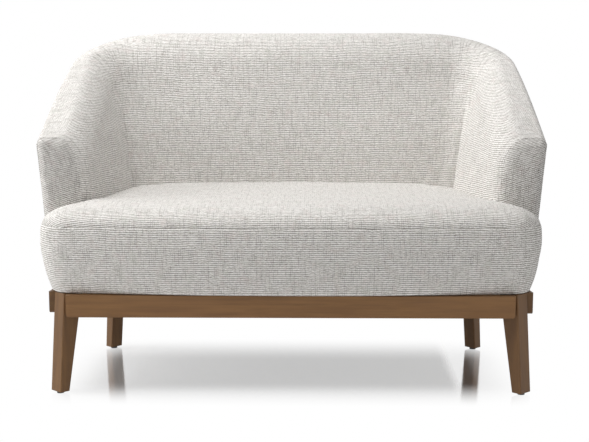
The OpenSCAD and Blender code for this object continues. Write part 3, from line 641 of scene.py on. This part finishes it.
def outside_grid():
    """Points and cloth lengths of the outside cover, from its hem up to the seam."""
    grid, uvs = [], []
    for column, i in enumerate(SHELL_STATIONS):
        high = top_z(i) - EDGE_R - SEAM_GAP
        points = [from_outside(i, off, BORDER_LOW_Z + rise) for off, rise in OUTSIDE_HEM]
        for k in range(OUTSIDE_ROWS + 1):
            z = mix(BORDER_LOW_Z + HEM_UP, high, k / OUTSIDE_ROWS)
            fade = math.sin(math.pi * k / OUTSIDE_ROWS)
            wave = OUTSIDE_WAVE_SHARE * abs(soft_wave(from_outside(i, 0.0, z)))
            points.append(from_outside(i, (OUTSIDE_CROWN + wave) * fade, z))
        points = np.array(points)
        up = lengths_along(points)
        grid.append(points)
        uvs.append(np.stack([np.full(len(points), OUTER_PATH[column]), up], axis=1))
    return np.array(grid), np.array(uvs)


def build_shell():
    grid, uvs = inside_grid()
    inside = grid_piece("inside_shell_cover", grid, uvs, cover_cloth, flip=True)
    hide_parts("inside_cover")
    grid, uvs = outside_grid()
    outside = grid_piece("outside_shell_cover", grid, uvs, cover_cloth, flip=True)
    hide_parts("outside_cover")


# Arm front facings
FACING_ROWS = 70
FACING_COLUMNS = 26
FACING_EDGE = 0.022
FACING_CROWN = 0.010
FACING_REACH = 0.078
FACING_TURN_SHARE = 0.50
FACING_CLOTH_RISE = 0.36
FACING_FADE = 0.014
FACING_HEM = 0.001
FACING_SEAM_W = 0.003
FACING_SEAM_DEPTH = 0.0006
EDGE_POWER = 2.2
WALL_STEPS = 24
ROLL_STEPS = 24
EDGE_STEPS = 12


def facing_outlines():
    """The inner and outer edges of the right arm front as lines of (x, z), bottom to top."""
    high = top_z(STATIONS)
    low = BORDER_LOW_Z + FACING_HEM
    inner, outer = [], []
    for k in range(WALL_STEPS):
        inner.append(from_inside(STATIONS, 0.0, mix(low, high - ROLL_H, k / WALL_STEPS)))
        outer.append(from_outside(STATIONS, 0.0, mix(low, high - EDGE_R, k / WALL_STEPS)))
    for a in np.linspace(0, math.pi / 2, ROLL_STEPS + 1):
        inner.append(from_inside(STATIONS, ROLL_W * (1 - math.cos(a)), high - ROLL_H * (1 - math.sin(a))))
    for a in np.linspace(0, math.pi / 2, EDGE_STEPS + 1):
        outer.append(from_outside(STATIONS, EDGE_R * (1 - math.cos(a)), high - EDGE_R * (1 - math.sin(a))))
    return np.array(inner)[:, [0, 2]], np.array(outer)[:, [0, 2]]


def build_facing(side):
    """A padded arm front: a soft turn to the inner arm and a crisp edge at its top and outside."""
    inner, outer = facing_outlines()
    low, high = inner[0, 1], inner[-1, 1]
    heights = mix(low, high, np.sin(np.linspace(0, math.pi / 2, FACING_ROWS)))
    left = np.stack([np.interp(heights, inner[:, 1], inner[:, 0]), heights], axis=1)
    right = np.stack([np.interp(heights, outer[:, 1], outer[:, 0]), heights], axis=1)
    shares = (1 - np.cos(np.linspace(0, math.pi, FACING_COLUMNS))) / 2
    flat = left[:, None] + shares[None, :, None] * (right - left)[:, None]
    points = flat.reshape(-1, 2)
    to_inner = distance_to(points, inner)
    to_outer = distance_to(points, np.vstack([outer, inner[-1:]]))
    edge = 1 - np.clip(1 - to_outer / FACING_EDGE, 0, 1) ** EDGE_POWER
    soft_turn = np.array([turn(d) for d in to_inner]) * FACING_TURN_SHARE
    crown = (soft_turn + FACING_CROWN * (1 - np.clip(1 - to_inner / FACING_REACH, 0, 1) ** 2)) * edge
    sunk = FACING_SEAM_DEPTH * np.exp(-(to_outer / FACING_SEAM_W) ** 2)
    y = ARM_Y - crown + sunk
    grid = np.stack([side * points[:, 0], y, points[:, 1]], axis=1).reshape(*flat.shape[:2], 3)
    outward = flat[:, :, 0] - left[:, None, 0]
    total = INNER_LENGTHS[-1]
    u = total + outward if side > 0 else -outward
    v = flat[:, :, 1] - COVER_LOW_Z - CLOTH_RISE * CREASE_LENGTH - FACING_CLOTH_RISE * outward
    name = "right_arm_front" if side > 0 else "left_arm_front"
    piece = grid_piece(name, grid, np.stack([u, v], axis=2), facing_cloth_painted_shade, flip=side < 0)
    # from_turn drives the painted shade of the facing weave, darker away from the turn
    inward = piece.data.attributes.new("from_turn", "FLOAT", "POINT")
    inward.data.foreach_set("value", np.clip(to_inner / FACING_FADE, 0, 1))
    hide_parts("right_arm_facing" if side > 0 else "left_arm_facing")


# Seat
SIDE_SHOULDER = 0.140
SIDE_POWER = 1.7
SIDE_ROOT = 0.85
FRONT_SHOULDER = 0.100
FRONT_POWER = 16
TUCK_DROP = 0.020
BACK_DROP = 0.002
TUCK_UNDER = 0.012
FOAM_ROOM = 0.001
SEAT_WAVE = 1.4
SEAT_WAVE_REACH = 0.05
SEAT_WAVE_Z = 0.5
SHOULDER_BLEND = 0.10
SHOULDER_POINTS = 400
TUCK_REACH = 0.12
CROWN_POWER = 8
SEAT_COLUMNS = 121
OUTLINE_FRONT_POINTS = 81
OUTLINE_CORNER_POINTS = 25
OUTLINE_SIDE_POINTS = 13
TUCK_POINTS = 60
CORNER_ROWS = 22
SIDE_ROWS = 9
ARM_FRONT_ROWS = 11
BOW_ANGLE = math.atan(2 * SEAT_BOW / (SEAT_HALF - SEAT_CORNER_R))


def front_corner(share, inset=0.0):
    """A point on the rounded front right corner, from the bowed front at 0 to the side at 1.

    An inset brings the point that much nearer to the centre of the corner.
    """
    edge_x = SEAT_HALF - SEAT_CORNER_R * (1 - math.sin(BOW_ANGLE))
    centre_x = edge_x - SEAT_CORNER_R * math.sin(BOW_ANGLE)
    centre_y = SEAT_FRONT_Y + SEAT_BOW + SEAT_CORNER_R * math.cos(BOW_ANGLE)
    a = mix(BOW_ANGLE - math.pi / 2, 0.0, share)
    r = SEAT_CORNER_R - inset
    return np.array([centre_x + r * math.cos(a), centre_y + r * math.sin(a)])


def row_bow(y):
    """How far the middle of a seat row lies in front of its ends."""
    return SEAT_BOW * (INSIDE_BACK_Y - y) / (INSIDE_BACK_Y - SEAT_FRONT_Y)


def front_outline():
    """The seat plan from the left arm front round the front to the right arm front."""
    corner = front_corner(0.0)
    bow = row_bow(corner[1])
    front = [np.array([corner[0] * u, corner[1] - bow * (1 - u * u)])
             for u in np.linspace(-1, 1, OUTLINE_FRONT_POINTS)]
    half = [front_corner(s) for s in np.linspace(0, 1, OUTLINE_CORNER_POINTS)[1:]]
    side_y = np.linspace(half[-1][1], ARM_LINE_Y, OUTLINE_SIDE_POINTS)[1:]
    half += [np.array([SEAT_HALF, y]) for y in side_y]
    left = [p * [-1, 1] for p in half[::-1]]
    return np.array(left + front + half)


def tuck_outline():
    """The right half of the seat plan between the arms, from the arm front to the back corner."""
    points = []
    for k in np.linspace(0, CORNER_LAST, TUCK_POINTS):
        x, y = half_plan(ARM_IN_HALF, INSIDE_BACK_Y, BACK_IN_HALF, CORNER_IN_R, k)
        points.append(np.array([x + TUCK_UNDER, y + TUCK_UNDER if k else ARM_LINE_Y]))
    return np.array(points)


def side_profile(share):
    """Height share of the seat beside its rounded side, a slow rise to the crown."""
    return (1 - (1 - np.clip(share, 0, 1)) ** SIDE_POWER) ** SIDE_ROOT


def front_profile(share):
    """Height share of the seat behind its front edge, a quarter of an ellipse."""
    return (1 - (1 - np.clip(share, 0, 1)) ** 2) ** 0.5


def before_arms(points):
    """Share of the front shoulder at each point, rising from the line of the arm fronts forward."""
    return np.clip((ARM_LINE_Y - points[:, 1]) / SHOULDER_BLEND, 0, 1)


def seat_form(points):
    """Height of the seat top: a crown with rounded shoulders, drawn down beside the arms."""
    outer = distance_to(points, front_outline())
    tuck = tuck_outline()
    arm = np.minimum(distance_to(points, tuck), distance_to(points, tuck * [-1, 1]))
    back = np.abs(INSIDE_BACK_Y - points[:, 1])
    at_side = side_profile(outer / SIDE_SHOULDER)
    at_front = front_profile(outer / FRONT_SHOULDER)
    shoulder = mix(at_side, at_front, before_arms(points))
    inward = np.clip((points[:, 1] - ARM_LINE_Y) / SHOULDER_BLEND, 0, 1)
    beside = np.clip(1 - arm / TUCK_REACH, 0, 1) ** 2 * inward * inward * (3 - 2 * inward)
    behind = np.clip(1 - back / TUCK_REACH, 0, 1) ** 2
    z = SEAM_Z + (CROWN_Z - SEAM_Z) * shoulder - TUCK_DROP * beside - BACK_DROP * behind
    return z, np.minimum(outer, np.minimum(arm, back))


def seat_height(points, least):
    """The seat top with its slow waves, never under a least height."""
    z, from_edge = seat_form(points)
    waves = np.array([soft_wave((*p, SEAT_WAVE_Z)) for p in points])
    return np.maximum(z, least) + SEAT_WAVE * np.clip(from_edge / SEAT_WAVE_REACH, 0, 1) * waves


def seat_rows():
    """Edge points of the right half of the seat and the bow of the row that ends at each."""
    rows = []
    corner = [front_corner(s) for s in np.linspace(0, 1, CORNER_ROWS)]
    for p in corner:
        rows.append((p, row_bow(p[1])))
    for y in np.linspace(corner[-1][1], ARM_LINE_Y, SIDE_ROWS)[1:]:
        rows.append((np.array([SEAT_HALF, y]), row_bow(y)))
    first_bow = rows[-1][1]
    for s in np.linspace(0, 1, ARM_FRONT_ROWS)[1:]:
        x = mix(SEAT_HALF, ARM_IN_HALF + TUCK_UNDER, s)
        rows.append((np.array([x, ARM_LINE_Y]), mix(first_bow, -TUCK_UNDER, s)))
    for p in tuck_outline()[1:]:
        fade = (INSIDE_BACK_Y - p[1]) / (INSIDE_BACK_Y - ARM_LINE_Y)
        rows.append((p, -TUCK_UNDER * max(0.0, fade)))
    return rows


def spare_length(reach, profile):
    """Cloth length over flat distance, from each place on a shoulder up to the crown."""
    d = reach * np.linspace(0, 1, SHOULDER_POINTS) ** 2
    z = (CROWN_Z - SEAM_Z) * profile(d / reach)
    spare = lengths_along(np.stack([d, z], axis=1)) - d
    return d, spare[-1] - spare


def seat_cloth(grid):
    """Cloth coordinates: the plan, stretched away from the corner centres down the shoulders."""
    points = grid[:, :, :2].reshape(-1, 2)
    outer = distance_to(points, front_outline())
    at_side = np.interp(outer, *spare_length(SIDE_SHOULDER, side_profile))
    at_front = np.interp(outer, *spare_length(FRONT_SHOULDER, front_profile))
    spare = mix(at_side, at_front, before_arms(points))
    centre = front_corner(1.0, SEAT_CORNER_R)
    past = np.stack([np.abs(points[:, 0]) - centre[0], centre[1] - points[:, 1]], axis=1)
    past = np.maximum(past, 0)
    share = past / np.maximum(np.linalg.norm(past, axis=1), 1e-6)[:, None]
    u = points[:, 0] + np.sign(points[:, 0]) * spare * share[:, 0]
    v = points[:, 1] - spare * share[:, 1]
    return np.stack([u, v], axis=1).reshape(*grid.shape[:2], 2)


def build_seat_top():
    """The top panel, never lower than the foam crown of the CAD source less a small room."""
    rows = seat_rows()
    shares = np.sin(np.linspace(-1, 1, SEAT_COLUMNS) * math.pi / 2)
    first_y = rows[0][0][1] - rows[0][1]
    grid, least = [], []
    for edge, bow in rows:
        grid.append([[u * edge[0], edge[1] - bow * (1 - u * u)] for u in shares])
        v = min(1.0, (edge[1] - bow - first_y) / (INSIDE_BACK_Y - first_y))
        low_z = SEAM_Z if edge[1] <= ARM_LINE_Y else TUCK_Z
        crown = (1 - np.abs(shares) ** CROWN_POWER) * (1 - (1 - v) ** FRONT_POWER)
        least.append(low_z + (CROWN_Z - low_z) * crown)
    flat = np.array(grid)
    points = flat.reshape(-1, 2)
    z = seat_height(points, np.array(least).ravel() - FOAM_ROOM)
    full = np.concatenate([points, z[:, None]], axis=1).reshape(*flat.shape[:2], 3)
    piece = grid_piece("seat_top_panel", full, seat_cloth(full), cover_cloth)
    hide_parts("seat_top_cover")


# Seat front border
BORDER_LEVELS = 41
BORDER_LEVEL_POWER = 1.15
BORDER_SWELL = 0.003
BORDER_SWELL_SHARE = 0.5
BORDER_DRAW_IN = 0.0245
BORDER_DRAW_SHARE = 0.25
BORDER_DRAW_POWER = 2.2
SEAM_PINCH = 0.0009
SEAM_PINCH_SHARE = 0.02
BORDER_TOP_UP = 0.0006
BORDER_HEM_UP = 0.002
BORDER_HEM = ((0.0275, 0.0), (0.034, -0.0005), (0.044, 0.0))


def border_out(t):
    """How far the border stands out from the seam line, from the seam at 0 to its hem at 1."""
    swell = BORDER_SWELL * math.sin(math.pi * min(1, t / BORDER_SWELL_SHARE))
    below = max(0.0, (t - BORDER_DRAW_SHARE) / (1 - BORDER_DRAW_SHARE))
    drawn_in = BORDER_DRAW_IN * below ** BORDER_DRAW_POWER
    pinch = SEAM_PINCH * math.exp(-(t / SEAM_PINCH_SHARE) ** 2)
    return swell - drawn_in - pinch


def build_border():
    """The border from the seam down over its swell, with a hem turned under the seat."""
    levels = np.linspace(0, 1, BORDER_LEVELS) ** BORDER_LEVEL_POWER
    outline = front_outline()
    way = np.gradient(outline, axis=0)
    normals = np.stack([way[:, 1], -way[:, 0]], axis=1)
    normals /= np.linalg.norm(normals, axis=1)[:, None]
    along = lengths_along(outline)
    grid, uvs = [], []
    for j, (p, side) in enumerate(zip(outline, normals)):
        points = []
        for t in levels:
            z = mix(SEAM_Z + BORDER_TOP_UP, BORDER_LOW_Z + BORDER_HEM_UP, t)
            q = p + side * border_out(t)
            wave = soft_wave((*q, z)) * math.sin(math.pi * t)
            points.append([*(q + side * wave), z])
        for inward, rise in BORDER_HEM:
            points.append([*(p - side * inward), BORDER_LOW_Z + rise])
        points = np.array(points)
        down = lengths_along(points)
        grid.append(points)
        uvs.append(np.stack([np.full(len(points), along[j]), -down], axis=1))
    piece = grid_piece("seat_front_border", np.array(grid), np.array(uvs), cover_cloth, flip=True)
    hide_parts("seat_border_cover")


build_shell()
build_facing(1)
build_facing(-1)
build_seat_top()
build_border()

# Studio
FLOOR_HALF = 16.0
FLOOR_GLOSS = 0.48
FLOOR_GLOSS_LEFT = 0.54
FLOOR_GLOSS_RIGHT = 0.80
GLOSS_FRONT_Y = (-0.45, -0.22)
GLOSS_BACK_Y = (0.0, 0.28)
GLOSS_SIDE_X = (0.47, 0.64)
LEG_GLOSS_X = (0.41, 0.45)
SOFT_WORLD = 0.33


def stage_plane(name, corners, material):
    mesh = bpy.data.meshes.new(name)
    mesh.from_pydata(corners, [], [(0, 1, 2, 3)])
    mesh.materials.append(material)
    piece = bpy.data.objects.new(name, mesh)
    bpy.context.scene.collection.objects.link(piece)


def floor_material():
    """Plain white floor that turns glossy, and takes the shadow, only under the settee."""
    n = Nodes("floor_white")
    split = n.add("ShaderNodeSeparateXYZ")
    n.link(n.add("ShaderNodeTexCoord").outputs["Object"], split.inputs[0])
    x, y = split.outputs[0], split.outputs[1]
    under = n.times(n.remap(y, *GLOSS_FRONT_Y), n.remap(y, *GLOSS_BACK_Y, 1.0, 0.0))
    under = n.times(under, n.remap(n.math("ABSOLUTE", x), *GLOSS_SIDE_X, 1.0, 0.0))
    n.shader.inputs["Base Color"].default_value = (0.80, 0.80, 0.80, 1)
    n.shader.inputs["Roughness"].default_value = 0.6
    gloss = n.add("ShaderNodeBsdfGlossy")
    gloss.inputs["Color"].default_value = (1, 1, 1, 1)
    gloss.inputs["Roughness"].default_value = 0.10
    path = n.add("ShaderNodeLightPath")
    seen = n.math("MAXIMUM", path.outputs["Is Camera Ray"], path.outputs["Is Glossy Ray"])
    polished = n.add("ShaderNodeMixShader")
    to_left = n.remap(n.times(x, -1.0), *LEG_GLOSS_X, FLOOR_GLOSS, FLOOR_GLOSS_LEFT)
    to_right = n.remap(x, *LEG_GLOSS_X, FLOOR_GLOSS, FLOOR_GLOSS_RIGHT)
    gloss_share = n.math("MAXIMUM", to_left, to_right)
    n.link(n.times(seen, gloss_share), polished.inputs[0])
    n.link(n.shader.outputs[0], polished.inputs[1])
    n.link(gloss.outputs[0], polished.inputs[2])
    white = n.add("ShaderNodeEmission")
    white.inputs["Strength"].default_value = 1.0
    chosen = n.add("ShaderNodeMixShader")
    n.link(n.times(n.math("SUBTRACT", 1.0, under), seen), chosen.inputs[0])
    n.link(polished.outputs[0], chosen.inputs[1])
    n.link(white.outputs[0], chosen.inputs[2])
    n.link(chosen.outputs[0], n.output.inputs[0])
    return n.material


def area_light(name, at, aim, size, power):
    """A soft rectangular light at a place, turned to a point, with its power in watts."""
    lamp = bpy.data.lights.new(name, "AREA")
    lamp.shape = "RECTANGLE"
    lamp.size, lamp.size_y = size
    lamp.energy = power
    light = bpy.data.objects.new(name, lamp)
    light.location = at
    light.rotation_euler = (Vector(aim) - Vector(at)).to_track_quat("-Z", "Y").to_euler()
    bpy.context.scene.collection.objects.link(light)


def build_world():
    """White behind the settee, and a softer white for the light that it gives."""
    world = bpy.data.worlds.new("studio")
    bpy.context.scene.world = world
    world.use_nodes = True
    tree = world.node_tree
    tree.nodes.clear()
    output = tree.nodes.new("ShaderNodeOutputWorld")
    path = tree.nodes.new("ShaderNodeLightPath")
    seen = path.outputs["Is Camera Ray"]
    for ray in ("Is Glossy Ray", "Is Transmission Ray"):
        either = tree.nodes.new("ShaderNodeMath")
        either.operation = "MAXIMUM"
        tree.links.new(seen, either.inputs[0])
        tree.links.new(path.outputs[ray], either.inputs[1])
        seen = either.outputs[0]
    soft = tree.nodes.new("ShaderNodeBackground")
    white = tree.nodes.new("ShaderNodeBackground")
    for background, strength in ((soft, SOFT_WORLD), (white, 1.0)):
        background.inputs[0].default_value = (1, 1, 1, 1)
        background.inputs[1].default_value = strength
    chosen = tree.nodes.new("ShaderNodeMixShader")
    tree.links.new(seen, chosen.inputs[0])
    tree.links.new(soft.outputs[0], chosen.inputs[1])
    tree.links.new(white.outputs[0], chosen.inputs[2])
    tree.links.new(chosen.outputs[0], output.inputs[0])


CORNERS = [(-1, -1), (1, -1), (1, 1), (-1, 1)]
LIGHTS = (
    ("top_light", (-0.9, -0.2, 3.3), (0, 0, 0.4), (2.8, 2.4), 82),
    ("key_light", (-3.2, -0.3, 2.0), (0, 0, 0.5), (1.8, 1.8), 59),
    ("low_light", (-2.4, -1.5, 0.30), (0.4, -0.3, 0.15), (0.9, 0.5), 2),
    ("fill_light", (2.3, -2.6, 1.3), (0, 0, 0.4), (1.8, 1.8), 8),
)
stage_plane("studio_floor", [(FLOOR_HALF * x, FLOOR_HALF * y, 0) for x, y in CORNERS], floor_material())
for light in LIGHTS:
    area_light(*light)
build_world()

# Camera, as the photograph was taken
CAMERA_AT = (0.053, -3.431, 0.888)
CAMERA_PITCH = math.radians(8.17)
CAMERA_TURN = math.radians(0.78)
FOCAL_PX = 1258
PHOTO_W = 589
SENSOR = 36.0
lens = bpy.data.cameras.new("photo_camera")
lens.sensor_width = SENSOR
lens.lens = FOCAL_PX / PHOTO_W * SENSOR
camera = bpy.data.objects.new("photo_camera", lens)
camera.location = CAMERA_AT
camera.rotation_euler = (math.pi / 2 - CAMERA_PITCH, 0, CAMERA_TURN)
bpy.context.scene.collection.objects.link(camera)
bpy.context.scene.camera = camera
bpy.context.scene.view_settings.view_transform = "Standard"
